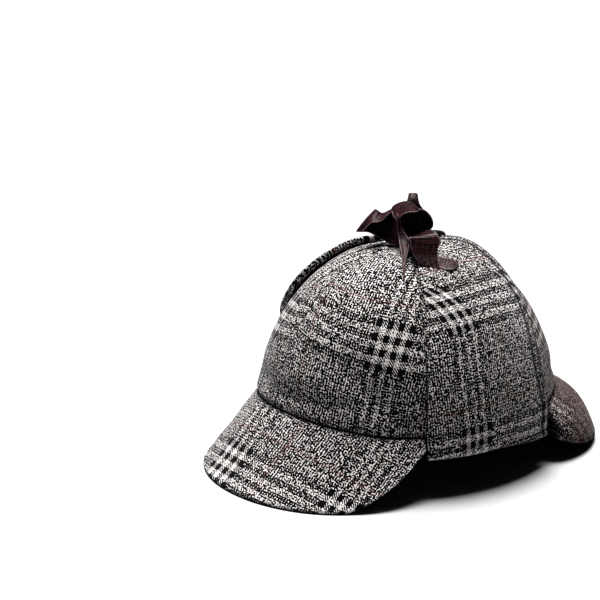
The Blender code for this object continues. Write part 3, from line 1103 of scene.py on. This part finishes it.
        # dark stitch line near the rear edge, and painted shade along the edge itself
        rear_edge_shade = self.rear_painted_shade * bell(to_rear, self.rear_shade_width)
        stitch_and_painted_shade = np.clip(np.maximum(rear_line, rear_edge_shade) * smooth_step(climb / 0.004), 0, 1)
        rims = Rims(first_column=1.4 * MM, last_column=1.4 * MM, first_row=1.0 * MM, last_row=1.4 * MM)
        return ClothSheet(self.name, middle, half_way, flat, rims, {"stitch_and_painted_shade": stitch_and_painted_shade})


@dataclass
class Crown:
    """The crown: six gores sewn together, over the brims and the flaps' folds."""

    dome: CrownDome
    front_brim: Brim
    rear_brim: Brim
    flap: EarFlap
    length: float = 0.155           # of a gore, about
    seam_gap: float = 0.12 * MM
    seam_pull: float = 0.6 * MM     # the seams draw the cloth in this much, over so wide a strip
    pull_width: float = 3.5 * MM
    pucker: float = 0.35            # and as much more or less of that from one pucker to the next
    pucker_wave: float = 6.5 * MM
    ripple_wave: float = 0.030
    ripple_depth: float = 0.28 * MM
    hem_tuck: float = 1.2 * MM      # the lower edge turns in this far, under a soft roll
    hem_turn: float = 1.4 * MM
    hem_roll: float = 0.5 * MM
    hem_roll_at: float = 3.6 * MM
    hem_roll_width: float = 2.2 * MM
    # painted shade along the seam at the gores' lower edge
    seam_painted_shade: float = 0.8
    flap_painted_shadow: float = 0.85        # painted shadow behind the flap's rear edge, up to this lift
    flap_shadow_lift: float = 1.0
    gores: tuple = (
        Gore("crown_front_left", 0, 68, Cut(0.0214, 0.0589, -12.9, 3.5, 1.07)),
        Gore("crown_side_left", 68, 126, Cut(0.012, 0.060, 2.0, 1.0)),
        Gore("crown_back_left", 126, 180, Cut(-0.010, 0.052, 4.0, -2.0)),
        Gore("crown_back_right", 180, 234, Cut(0.014, 0.070, -3.0, 2.0)),
        Gore("crown_side_right", 234, 292, Cut(-0.010, 0.048, 3.0, 0.0)),
        Gore("crown_front_right", 292, 360, Cut(0.012, 0.062, 10.0, -4.0)),
    )

    def low_height(self, gore: Gore, turn: np.ndarray) -> np.ndarray:
        """Find a gore's lower edge.

        Args:
            gore: the gore.
            turn: angles from above.

        Returns:
            The edge's heights.
        """
        edge = next(kind for kind in LowEdge if kind.value in gore.name)
        if edge is LowEdge.FRONT_BRIM:
            return self.front_brim.seam_height(self.dome, turn)
        if edge is LowEdge.REAR_BRIM:
            return self.rear_brim.seam_height(self.dome, turn)
        return self.flap.fold_at(np.minimum(turn, 2 * pi - turn)) + self.flap.fold_thick + 2 * self.front_brim.gap

    def painted_shade(self, turn: np.ndarray, lift: np.ndarray, radius: np.ndarray, climb: np.ndarray) -> np.ndarray:
        """Work out the painted shadow behind a flap's rear edge and the painted shade along its own lower edge.

        Args:
            turn: angles from above.
            lift: angles up the dome.
            radius: distances from the crown's middle, seen from above.
            climb: distances up from the lower edge.

        Returns:
            Values from 0 to 1.
        """
        top = self.flap.top_lift_deg
        flap_edge = smooth_table(self.flap.lift_deg, self.flap.rear_deg, np.clip(np.degrees(lift), 0, top))
        past_flap = (np.minimum(turn, 2 * pi - turn) - np.radians(flap_edge)) * radius
        fade = 1 - smooth_step((lift - self.flap_shadow_lift) / 0.2)
        return np.maximum(self.flap_painted_shadow * bell(past_flap - 1.2 * MM, 2.4 * MM) * fade,
                          self.seam_painted_shade * np.exp(-climb / (1.0 * MM)))

    def sheet(self, gore: Gore, spacing: float) -> ClothSheet:
        """Shape a gore from its lower edge to the hole under the knot.

        Args:
            gore: the gore.
            spacing: the grid's distance.

        Returns:
            The sheet.
        """
        dome = self.dome
        span = radians(gore.end_deg - gore.start_deg)
        share = steps_across(span * (dome.half_width + dome.half_length) / 2, spacing)[None, :]
        rise = steps_across(self.length, spacing)[:, None]
        nominal = radians(gore.start_deg) + span * share
        low = dome.lift_at(self.low_height(gore, nominal))
        lift = low + (dome.top_hole_lift - low) * rise
        plain = dome.point(nominal + 0 * lift, lift, -dome.cloth / 2)
        radius = np.hypot(plain[:, :, 0], plain[:, :, 1] - dome.centre_y)
        turn = nominal + (1 - 2 * share) * self.seam_gap / 2 / np.maximum(radius, 1e-3)
        across, climb = run_along(plain, 1), run_along(plain, 0)
        to_seam = np.minimum(across, across[:, -1:] - across)
        pucker = 1 + self.pucker * np.sin(2 * pi * climb / self.pucker_wave + 2.1 * np.sin(climb / 0.017))
        depth = (dome.dent_depth(turn, lift, plain[:, :, 2])
                 + self.seam_pull * np.exp(-to_seam / self.pull_width) * pucker
                 + self.hem_tuck * np.exp(-climb / self.hem_turn)
                 - self.hem_roll * bell(climb - self.hem_roll_at, self.hem_roll_width)
                 - ripple(plain, self.ripple_wave, 3 + int(gore.start_deg)) * self.ripple_depth
                 * smooth_step(to_seam / 0.012))
        middle = dome.point(turn, lift, -dome.cloth / 2 - depth)
        from_level = climb + (plain[:1, :, 2] - dome.widest_height)
        flat = gore.cut.lay(across - across[:, -1:] / 2, from_level)
        rims = Rims(first_column=0.8 * MM, last_column=0.8 * MM, first_row=0.9 * MM, last_row=0.6 * MM)
        return ClothSheet(gore.name, middle, grid_normals(middle) * (dome.cloth / 2), flat, rims,
                          {"stitch_and_painted_shade": self.painted_shade(turn, lift, radius, climb)})

    def build(self, wool: bpy.types.Material, spacing: float) -> None:
        """Build and dress the six gores.

        Args:
            wool: their material.
            spacing: the grids' distance.
        """
        for place, gore in enumerate(self.gores):
            sheet = self.sheet(gore, spacing)
            dress(sheet.build(wool), gore.name)


# -------------------------------------------------------------------------------------------- view


@dataclass(frozen=True)
class Viewpoint:
    """Where the camera stands and looks, fitted to the hat's outlines in the picture."""

    target: tuple = (0.0, 0.00465, 0.080)
    azimuth_deg: float = 54.8
    elevation_deg: float = 17.7
    distance: float = 1.400
    lens: float = 130.26
    sensor: float = 36.0
    picture: float = 600.0          # pixels to a side
    aim_left: float = 0.0698        # the camera aims this far beside and above the target
    aim_up: float = 0.0180

    def directions(self) -> tuple[np.ndarray, np.ndarray, np.ndarray]:
        """Work out which way the camera looks.

        Returns:
            The view's right, up and back directions.
        """
        az, el = radians(self.azimuth_deg), radians(self.elevation_deg)
        back = np.array((sin(az) * cos(el), -cos(az) * cos(el), sin(el)))
        right = np.array((cos(az), sin(az), 0.0))
        return right, np.cross(back, right), back

    def place(self) -> np.ndarray:
        """Return the camera's place."""
        return np.array(self.target) + self.directions()[2] * self.distance

    def aim(self) -> np.ndarray:
        """Return the point that the camera looks at."""
        right, up, _ = self.directions()
        return np.array(self.target) - right * self.aim_left + up * self.aim_up

    def sight(self, x: float, y: float) -> np.ndarray:
        """Find the way from the camera to what shows at a spot of the picture.

        Args:
            x: the spot's pixels from the picture's left edge.
            y: and from its top.

        Returns:
            The way.
        """
        behind = self.place() - self.aim()
        behind /= np.linalg.norm(behind)
        side = np.cross((0.0, 0.0, 1.0), behind)
        side /= np.linalg.norm(side)
        right, down = x - self.picture / 2, y - self.picture / 2
        ahead = self.lens / self.sensor * self.picture
        return side * right - np.cross(behind, side) * down - behind * ahead


# --------------------------------------------------------------------------------------------- bow


@dataclass(frozen=True)
class Station:
    """A place down a ribbon's middle, in the bow's own directions, and its width there and its way."""

    across: float
    toward: float
    above: float
    width: float
    w_across: float
    w_toward: float
    w_up: float
    curl: float = 12.0              # per metre; how sharply the width bends back from its face


@dataclass
class RibbonStrip:
    """A length of the ribbon through its stations."""

    name: str
    seen: tuple = ()                # rows: x, y and toward of one edge and of the other, and any curl
    lying: tuple = ()               # rows further out: the same, with the height over the crown for toward
    hidden: tuple = ()              # rows: across, toward, above and width in mm, and the width's way
    held: Held = Held.FOLDED
    thick: float = 0.0008
    tangent_step: float = 0.02      # of a station, to either side, for the ribbon's way

    def sheet(self, bow: "RibbonBow", spacing: float) -> ClothSheet:
        """Shape the strip.

        Args:
            bow: the bow that it belongs to.
            spacing: the grid's distance.

        Returns:
            The sheet.
        """
        stations = [bow.station(row, lying=False) for row in self.seen]
        stations += [bow.station(row, lying=True) for row in self.lying]
        stations += [Station(*(value * MM for value in row[:4]), *row[4:]) for row in self.hidden]
        number = np.arange(len(stations), dtype=float)

        def read(key: str, at: np.ndarray) -> np.ndarray:
            """Read a column of the stations."""
            return smooth_table(number, [getattr(s, key) for s in stations], at)

        def line(at: np.ndarray) -> np.ndarray:
            """Place the ribbon's middle."""
            return bow.place(read("across", at), read("toward", at), read("above", at))

        dense = np.linspace(0, number[-1], 400)
        run = run_along(line(dense)[:, None, :], 0)[:, 0]
        at = np.interp(steps_across(run[-1], spacing) * run[-1], run, dense)
        ahead = (line(np.minimum(at + self.tangent_step, number[-1]))
                 - line(np.maximum(at - self.tangent_step, 0)))
        wide = bow.direction(read("w_across", at), read("w_toward", at), read("w_up", at))
        face = np.cross(wide, ahead)
        wide /= np.linalg.norm(wide, axis=1, keepdims=True)
        face /= np.linalg.norm(face, axis=1, keepdims=True)
        width = read("width", at)
        side = steps_across(float(width.max()), spacing)[None, :] - 0.5
        curl = read("curl", at)[:, None] + 1e-3
        swing = curl * width[:, None] * side
        reach, fall = np.sin(swing) / curl, (1 - np.cos(swing)) / curl
        middle = line(at)[:, None, :] + wide[:, None, :] * reach[:, :, None] - face[:, None, :] * fall[:, :, None]
        flat = np.stack([width.max() * side + 0 * swing, np.interp(at, dense, run)[:, None] + 0 * swing], axis=-1)
        selvedge = max(s.width for s in stations) / 2 - np.abs(flat[:, :, 0])
        rim = self.thick / 2
        return ClothSheet(self.name, middle, grid_normals(middle) * rim, flat, Rims(rim, rim, rim, rim),
                          {"selvedge": selvedge})


@dataclass
class RibbonBow:
    """The bow that ties the flaps' ribbons on top of the crown."""

    dome: CrownDome
    view: Viewpoint                 # the bow's front is towards the camera
    knot_half: tuple = (0.0078, 0.0070, 0.0056)
    knot_above: float = 0.0072
    knot_middle: float = 0.005      # the knot shows the ribbon's middle, this far from a selvedge
    lies_before: float = 60.0       # mm; a spot on the crown is looked for from here back to the bow's middle
    strips: tuple = (               # x and y are pixels from the picture's left and top edges, all else mm
        RibbonStrip("bow_loop", seen=(
            (404.5, 234.0, 4.0, 398.0, 230.0, -8.0),
            (400.6, 229.5, 7.0, 393.6, 222.5, -9.0),
            (399.8, 222.5, 8.0, 391.8, 213.5, -9.5),
            (401.2, 217.3, 8.0, 393.0, 207.6, -10.0),
            (405.0, 214.0, 8.0, 397.5, 203.8, -10.0, 6),
            (410.5, 212.7, 8.0, 403.6, 202.0, -10.0, 6),
            (416.5, 212.7, 8.0, 409.5, 202.2, -10.0),
            (420.8, 210.2, 8.0, 414.0, 205.0, -10.0),
            (426.5, 212.7, 8.0, 418.0, 211.0, -9.0),
            (431.3, 219.0, 7.5, 421.5, 218.0, -8.0),
            (432.3, 226.0, 6.5, 422.0, 225.0, -7.0),
            (427.0, 232.0, 5.0, 418.0, 229.0, -6.0),
        )),
        RibbonStrip("ribbon_end_up", seen=(
            (400.5, 230.0, -10.5, 428.0, 230.0, -10.5),
            (399.0, 220.0, -12.0, 428.5, 220.0, -12.0),
            (401.0, 211.5, -13.0, 425.0, 211.5, -13.0),
            (405.6, 204.0, -13.8, 420.0, 204.5, -13.6, 30),
            (407.8, 197.5, -15.8, 418.4, 198.2, -15.6, 100),
            (408.6, 192.8, -19.0, 417.6, 193.0, -18.8, 150),
        )),
        RibbonStrip("ribbon_end_left", seen=(
            (392.6, 211.8, 4.0, 392.0, 209.3, -4.0),
            (388.0, 214.6, 4.5, 388.6, 210.6, -6.0),
            (383.6, 219.0, 5.0, 384.5, 212.6, -7.0),
            (378.4, 222.0, 5.5, 381.4, 212.8, -6.5),
            (371.5, 222.7, 6.0, 379.0, 211.2, -5.5),
            (366.8, 226.5, 6.0, 377.2, 209.8, -5.0),
            (361.5, 231.5, 5.5, 376.2, 209.0, -4.5),
            (356.2, 230.8, 4.5, 375.2, 208.8, -4.5),
            (356.6, 231.8, 3.5, 374.0, 210.0, -5.0),
            (362.0, 232.0, 3.0, 373.5, 213.5, -6.0),
            (369.5, 232.9, 2.5, 376.0, 215.0, -7.0),
            (383.0, 240.0, 4.5, 383.5, 214.5, -6.0),
            (391.5, 245.4, 7.5, 390.5, 211.0, -5.0),
            (398.5, 246.0, 9.5, 399.0, 216.0, -2.0),
        )),
        RibbonStrip("ribbon_end_narrow", seen=(
            (392.2, 211.6, 8.0, 394.2, 211.0, 4.0),
            (393.0, 216.0, 10.5, 397.0, 212.8, 5.0),
            (396.4, 220.3, 11.5, 399.9, 217.5, 8.5),
            (396.9, 226.4, 12.0, 401.2, 225.5, 10.0),
            (397.6, 232.8, 12.5, 405.0, 232.6, 12.0, 30),
            (398.6, 241.5, 15.5, 409.4, 240.5, 15.5, 120),
            (400.0, 249.0, 21.5, 409.2, 249.3, 21.5, 190),
        ), lying=(
            (401.8, 258.0, 1.9, 406.9, 258.0, 1.9, 190),
            (402.6, 268.0, 1.4, 405.3, 268.0, 1.4, 150),
            (403.0, 280.0, 1.3, 404.8, 280.0, 1.3),
        ), held=Held.DRAPED),
        RibbonStrip("ribbon_end_broad", seen=(
            (407.5, 238.0, 9.0, 422.0, 229.8, 4.0),
            (408.4, 240.5, 15.0, 428.0, 230.6, 10.5),
            (408.9, 241.0, 21.5, 432.6, 231.0, 18.0),
            (409.2, 237.8, 28.0, 437.4, 234.6, 25.2),
            (409.6, 241.2, 29.4, 440.4, 242.0, 28.0),
            (410.6, 247.5, 31.0, 438.0, 248.6, 30.0),
            (413.0, 254.6, 32.7, 437.8, 256.0, 32.2),
            (416.4, 260.7, 34.4, 439.2, 263.3, 34.8),
        ), lying=(
            (419.8, 264.9, 3.0, 441.0, 269.9, 5.1),
        ), held=Held.DRAPED),
        RibbonStrip("ribbon_end_lying", seen=(
            (424.0, 249.5, 18.0, 426.0, 257.0, 25.0),
        ), lying=(
            (432.0, 254.0, 3.2, 434.0, 263.4, 3.6),
            (441.0, 256.8, 4.6, 442.5, 268.6, 5.6, 10),
            (450.5, 258.8, 5.5, 451.5, 269.6, 7.5, 10),
            (458.2, 262.8, 6.0, 458.8, 266.0, 6.5),
        ), held=Held.DRAPED),
        RibbonStrip("flap_tie_left", hidden=(
            (6.0, 6.6, 4.0, 8.0, 0.7, -0.7, 0.0),
            (7.4, 11.2, 4.5, 10.0, 0.7, -0.7, 0.0),
            (8.4, 16.5, 5.2, 11.0, 0.7, -0.7, 0.0),
        )),
        RibbonStrip("flap_tie_right", hidden=(
            (-6.0, -6.6, 4.0, 8.0, 0.7, -0.7, 0.0),
            (-7.8, -11.2, 4.5, 10.0, 0.7, -0.7, 0.0),
            (-9.2, -16.5, 5.4, 11.0, 0.7, -0.7, 0.0),
        )),
    )

    def direction(self, across: np.ndarray, toward: np.ndarray, up: np.ndarray) -> np.ndarray:
        """Turn a direction of the bow's own into one of the hat's, or one of the hat's into its own."""
        c, s = cos(radians(self.view.azimuth_deg)), sin(radians(self.view.azimuth_deg))
        return np.stack([across * c + toward * s, across * s - toward * c, up + 0 * across], axis=-1)

    def place(self, across: np.ndarray, toward: np.ndarray, above: np.ndarray) -> np.ndarray:
        """Turn a place in the bow's own directions into a place over the dome.

        Args:
            across: to the right, seen from the bow's front.
            toward: towards the bow's front.
            above: over the dome's face.

        Returns:
            The points.
        """
        spot = self.direction(np.atleast_1d(across), np.atleast_1d(toward), np.zeros(np.size(across)))
        spot[:, 1] += self.dome.centre_y
        spot[:, 2] = [self.dome.height_over(x, y) for x, y, _ in spot] + np.atleast_1d(above)
        return spot

    def above(self, spot: np.ndarray) -> float:
        """Return how far a place in the bow's own directions is over the dome."""
        x, y, up = self.direction(*spot)
        return up - self.dome.height_over(x, y + self.dome.centre_y)

    def edge(self, x: float, y: float, depth: float, lying: bool) -> np.ndarray:
        """Find where a spot of a ribbon's edge is.

        Args:
            x: the spot's pixels from the picture's left edge.
            y: and from its top.
            depth: millimetres from the bow's middle towards its front, or over the crown if it lies there.
            lying: whether it does.

        Returns:
            Its place across, toward and up in the bow's own directions, in millimetres.
        """
        eye = self.direction(*(self.view.place() - (0, self.dome.centre_y, 0))) / MM
        way = self.direction(*self.view.sight(x, y))

        def follow(toward: float) -> np.ndarray:
            """Follow the sight until it is so far towards the bow's front."""
            run = (toward - eye[1]) / way[1]
            return np.array([eye[0] + way[0] * run, toward, eye[2] + way[2] * run])

        if not lying:
            return follow(depth)
        before, behind = self.lies_before, 0.0
        for _ in range(50):
            between = (before + behind) / 2
            if self.above(follow(between) * MM) > depth * MM:
                before = between
            else:
                behind = between
        return follow(before)

    def station(self, row: tuple, lying: bool) -> Station:
        """Work out a station from the spots of its two edges, as finely as the picture can be read.

        Args:
            row: x, y and depth of one edge and of the other, and any curl.
            lying: whether both lie on the crown.

        Returns:
            The station, to 0.1 mm and 0.01 of a direction.
        """
        first, second = self.edge(*row[:3], lying), self.edge(*row[3:6], lying)
        middle, way = (first + second) / 2, second - first
        width = np.linalg.norm(way)
        sizes = (middle[0], middle[1], self.above(middle * MM) / MM, width)
        return Station(*(round(float(v) / 1000, 4) for v in sizes), *(round(float(v), 2) for v in way / width),
                       *row[6:])

    def knot(self, ribbon: bpy.types.Material) -> None:
        """Model and dress the knot: a wound lump with folds that run round it.

        Args:
            ribbon: its material.
        """
        bpy.ops.object.select_all(action="DESELECT")
        bpy.ops.mesh.primitive_uv_sphere_add(segments=96, ring_count=48, radius=1.0)
        piece = bpy.context.object
        piece.name = piece.data.name = "bow_knot_cloth"
        mesh = piece.data
        start = read_places(mesh)
        round_it = np.arctan2(start[:, 2], start[:, 0])
        fold = 0.07 * np.sin(5.0 * start[:, 1] * pi + 1.3 * np.sin(round_it)) + 0.03 * np.sin(3 * round_it)
        shaped = np.copysign(np.abs(start) ** 0.85, start) * (np.array(self.knot_half) * (1 + fold[:, None]))
        centre = self.place(0.0, 0.0, self.knot_above)
        mesh.vertices.foreach_set("co", (centre + self.direction(*shaped.T)).ravel())
        write_cloth_map(mesh, np.stack([start[:, 1] * self.knot_half[1], round_it * self.knot_half[0]], axis=-1))
        write_values(mesh, "selvedge", np.full(len(start), self.knot_middle))
        finish_piece(piece, ribbon)
        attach(piece, "root")
        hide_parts("bow_knot")
        LOG.info("%s: %d faces", piece.name, len(mesh.polygons))

    def build(self, ribbon: bpy.types.Material, spacing: float) -> None:
        """Build and dress the knot and every strip.

        Args:
            ribbon: their material.
            spacing: the grids' distance.
        """
        self.knot(ribbon)
        for strip in self.strips:
            sheet = strip.sheet(self, spacing)
            dress(sheet.build(ribbon), strip.name)


# ------------------------------------------------------------------------------------------ studio


@dataclass
class Studio:
    """White paper, soft light from above, a photograph's contrast and the camera."""

    view: Viewpoint = Viewpoint()
    paper_size: float = 40.0
    light_strength: float = 4.75
    light_width_deg: float = 32.0
    light_height_deg: float = 76.0
    light_swing_deg: float = 8.0    # from straight behind the hat towards the camera's left
    world_strength: float = 0.040

    def camera(self) -> None:
        """Set up the camera."""
        data = bpy.data.cameras.new("camera")
        data.lens, data.sensor_width = self.view.lens, self.view.sensor
        data.clip_start, data.clip_end = 0.05, 60.0
        made = bpy.data.objects.new("camera", data)
        bpy.context.scene.collection.objects.link(made)
        made.location = Vector(self.view.place())
        made.rotation_euler = Vector(self.view.aim() - self.view.place()).to_track_quat("-Z", "Y").to_euler()
        bpy.context.scene.camera = made

    def light(self) -> None:
        """Hang one wide soft light high up, a little behind the hat and to its left as the camera sees it."""
        right, _, back = (Vector(way) for way in self.view.directions())
        behind = -Vector((back.x, back.y, 0)).normalized()
        data = bpy.data.lights.new("soft_light", "SUN")
        data.energy, data.angle = self.light_strength, radians(self.light_width_deg)
        data.color = (1.0, 0.995, 0.99)
        made = bpy.data.objects.new("soft_light", data)
        bpy.context.scene.collection.objects.link(made)
        level = (behind * cos(radians(self.light_swing_deg)) - right * sin(radians(self.light_swing_deg)))
        way = level * cos(radians(self.light_height_deg)) + Vector((0, 0, sin(radians(self.light_height_deg))))
        made.location = Vector(self.view.target) + way * 2
        made.rotation_euler = way.to_track_quat("Z", "Y").to_euler()

    def build(self) -> None:
        """Set up the paper, the lights, the world and the camera."""
        bpy.ops.object.select_all(action="DESELECT")
        bpy.ops.mesh.primitive_grid_add(x_subdivisions=24, y_subdivisions=24, size=self.paper_size)
        paper = bpy.context.object
        paper.name = "paper"
        paper.data.materials.append(StudioPaper().material())
        self.light()
        world = bpy.data.worlds.new("studio")
        world.use_nodes = True
        world.node_tree.nodes["Background"].inputs["Color"].default_value = (1.0, 1.0, 1.0, 1.0)
        world.node_tree.nodes["Background"].inputs["Strength"].default_value = self.world_strength
        bpy.context.scene.world = world
        bpy.context.scene.view_settings.view_transform = "Standard"
        bpy.context.scene.view_settings.look = "Very High Contrast"
        self.camera()


# -------------------------------------------------------------------------------------------- main


def hat_brims() -> tuple[Brim, Brim]:
    """Set the sizes of the brims.

    Returns:
        The front and the rear brim.
    """
    front = Brim("front_brim", facing_deg=0, half_turn_deg=66.6, reach=0.0393, end_share=0.10, end_height=0.0310,
                 lands_at=0.78, left_spread=3.5, right_spread=2.4, shoulder=1.20, seam_arch=0.0112, sag=0.0016,
                 flat_radius=0.167, cut=Cut(-0.0102, -0.0457, 2.0, 7.0, 1.25, gather=1.73))
    rear = Brim("rear_brim", facing_deg=180, half_turn_deg=53.8, reach=0.0328, end_share=0.15, end_height=0.0195,
                lands_at=0.93, left_spread=2.5, right_spread=2.4, shoulder=0.62, seam_arch=0.0068, sag=-0.0098,
                flat_radius=0.200, cut=Cut(-0.0755, 0.038, 0.0, -3.0, 1.15), edge_turn=2.0 * MM, end_painted_shade=0.85)
    return front, rear


def hat_flaps() -> tuple[EarFlap, EarFlap]:
    """Set the sizes of the ear flaps; the right one stands off the crown at its front edge.

    Returns:
        The left and the right flap.
    """
    lifts = (0, 20, 35, 50, 62, 72, 80)
    rear_deg = (123.4, 122.4, 127.2, 137.2, 149.6, 160.0, 160.0)
    left = EarFlap("ear_flap_left", Side.LEFT,
                   Cut(-0.0183, 0.0899, 5.0, 0.0, 0.90, bend=9.5, bend_from=0.062), lift_deg=lifts,
                   front_deg=(67.2, 67.8, 68.5, 70.0, 69.0, 71.0, 78.0), rear_deg=rear_deg,
                   front_off=(0.0008, 0.0013, 0.0015, 0.0015, 0.0013, 0.0011, 0.0009),
                   rear_off=(0.0008, 0.0018, 0.0024, 0.0032, 0.0040, 0.0046, 0.0026))
    right = EarFlap("ear_flap_right", Side.RIGHT, Cut(0.012, 0.070, -4.0, 3.0), lift_deg=lifts,
                    front_deg=(67.2, 62.0, 51.0, 46.0, 51.0, 62.0, 78.0), rear_deg=rear_deg,
                    front_off=(0.0008, 0.0016, 0.0030, 0.0034, 0.0027, 0.0020, 0.0009),
                    rear_off=(0.0008, 0.0018, 0.0024, 0.0032, 0.0040, 0.0034, 0.0014), front_thin=-0.5)
    return left, right


def main() -> None:
    """Build the studio and the hat's pieces in order."""
    logging.basicConfig(level=logging.INFO, format="%(message)s")
    dome = CrownDome()
    front, rear = hat_brims()
    left, right = hat_flaps()
    wool, ribbon = GlenCheckWool().material(), GrosgrainRibbon().material()

    studio = Studio()
    studio.build()
    Crown(dome, front, rear, left).build(wool, WOOL_SPACING)
    for part, held, neighbour in ((front, Held.STRETCHED, "crown_front_left"),
                                  (rear, Held.STRETCHED, "crown_back_left"),
                                  (left, Held.FOLDED, "crown_side_left"),
                                  (right, Held.FOLDED, "crown_side_right")):
        sheet = part.sheet(dome, WOOL_SPACING)
        dress(sheet.build(wool), part.name)
    RibbonBow(dome, studio.view).build(ribbon, RIBBON_SPACING)


if __name__ == "__main__":
    main()
